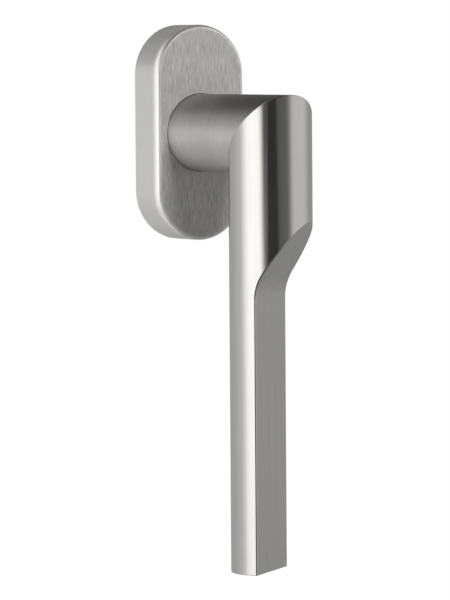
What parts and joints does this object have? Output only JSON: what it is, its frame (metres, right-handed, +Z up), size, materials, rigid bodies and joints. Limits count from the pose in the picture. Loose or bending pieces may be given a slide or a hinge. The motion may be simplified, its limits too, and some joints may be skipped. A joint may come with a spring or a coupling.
{
  "type": "window handle",
  "caption": "Brushed steel window handle: stadium rosette, round neck and a mitred bar grip cut half-round towards its lower end.",
  "frame": {"origin": "spindle axis at the sash face, in the middle of the rosette's back", "axes": "+Y into the sash along the spindle, -Y into the room, +Z up, +X right as seen from the room"},
  "size_m": [0.0312, 0.0892, 0.1665],
  "materials": {
    "brushed_steel": "fine brushed stainless steel",
    "turned_steel": "stainless steel brushed round its circumference",
    "die_cast": "raw die-cast zinc, matte",
    "zinc_plated": "bright zinc plating",
    "spring_steel": "phosphated spring steel",
    "bearing_plastic": "black moulded plastic"
  },
  "bodies": {
    "base": {"base_plate": "die_cast", "bearing_bush": "bearing_plastic", "fixing_screws": "zinc_plated", "upper_detent_spring": "spring_steel", "lower_detent_spring": "spring_steel"},
    "cover": {"rosette_cover": "brushed_steel"},
    "upper_ball": {"upper_detent_ball": "zinc_plated"},
    "lower_ball": {"lower_detent_ball": "zinc_plated"},
    "handle": {"neck": "turned_steel", "grip": "brushed_steel", "spindle_pin": "zinc_plated", "detent_ring": "zinc_plated", "disc_spring": "spring_steel", "retaining_ring": "spring_steel"},
    "spindle": {"spindle": "zinc_plated"}
  },
  "joints": [
    {"name": "handle_turn", "type": "hinge", "parent": "base", "child": "handle", "pos_m": [0, 0, 0], "axis": [0, -1, 0], "range_deg": [-180, 180]},
    {"name": "spindle_reach", "type": "slide", "parent": "handle", "child": "spindle", "axis": [0, 1, 0], "range_m": [0, 0.016]},
    {"name": "cover_lift", "type": "slide", "parent": "base", "child": "cover", "axis": [0, -1, 0], "range_m": [0, 0.012]},
    {"name": "upper_ball_travel", "type": "slide", "parent": "base", "child": "upper_ball", "axis": [0, 0, -1], "range_m": [0, 0.0004], "stiffness_N_per_m": 2000, "springref_m": 0.001, "deforming": ["upper_detent_spring"]},
    {"name": "lower_ball_travel", "type": "slide", "parent": "base", "child": "lower_ball", "axis": [0, 0, 1], "range_m": [0, 0.0004], "stiffness_N_per_m": 2000, "springref_m": 0.001, "deforming": ["lower_detent_spring"]}
  ]
}
